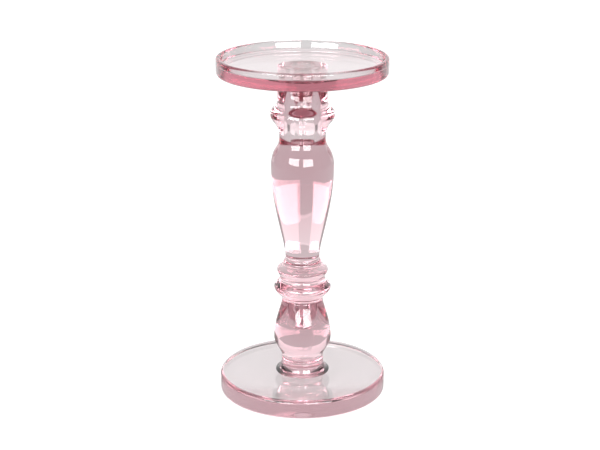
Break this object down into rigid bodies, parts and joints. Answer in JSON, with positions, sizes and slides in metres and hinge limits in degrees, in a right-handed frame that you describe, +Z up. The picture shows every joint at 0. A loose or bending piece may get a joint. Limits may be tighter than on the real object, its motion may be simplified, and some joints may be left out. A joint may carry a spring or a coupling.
{
  "type": "glass candlestick",
  "caption": "Tinted glass candlestick: round rimmed dish for a pillar candle on a turned baluster stem with rings and a bulb, standing on a thick round glass base.",
  "frame": {"origin": "on the axis, at the underside of the base disc, where the candlestick stands", "axes": "+Z up along the axis of the candlestick, X and Y level; the object is the same all round"},
  "size_m": [0.12, 0.12, 0.246],
  "materials": {
    "disc_glass": "pressed glass tinted pale rose through and through, polished",
    "stem_glass": "pressed glass of the same pale rose tint, fire-polished; the stem and the bulb, each with a well in its top",
    "adhesive": "clear cured adhesive, smooth"
  },
  "bodies": {
    "root": {"base_disc": "disc_glass", "base_bond": "adhesive", "bulb": "stem_glass", "stem_bond": "adhesive", "stem": "stem_glass", "dish_bond": "adhesive", "candle_dish": "disc_glass"}
  },
  "joints": []
}
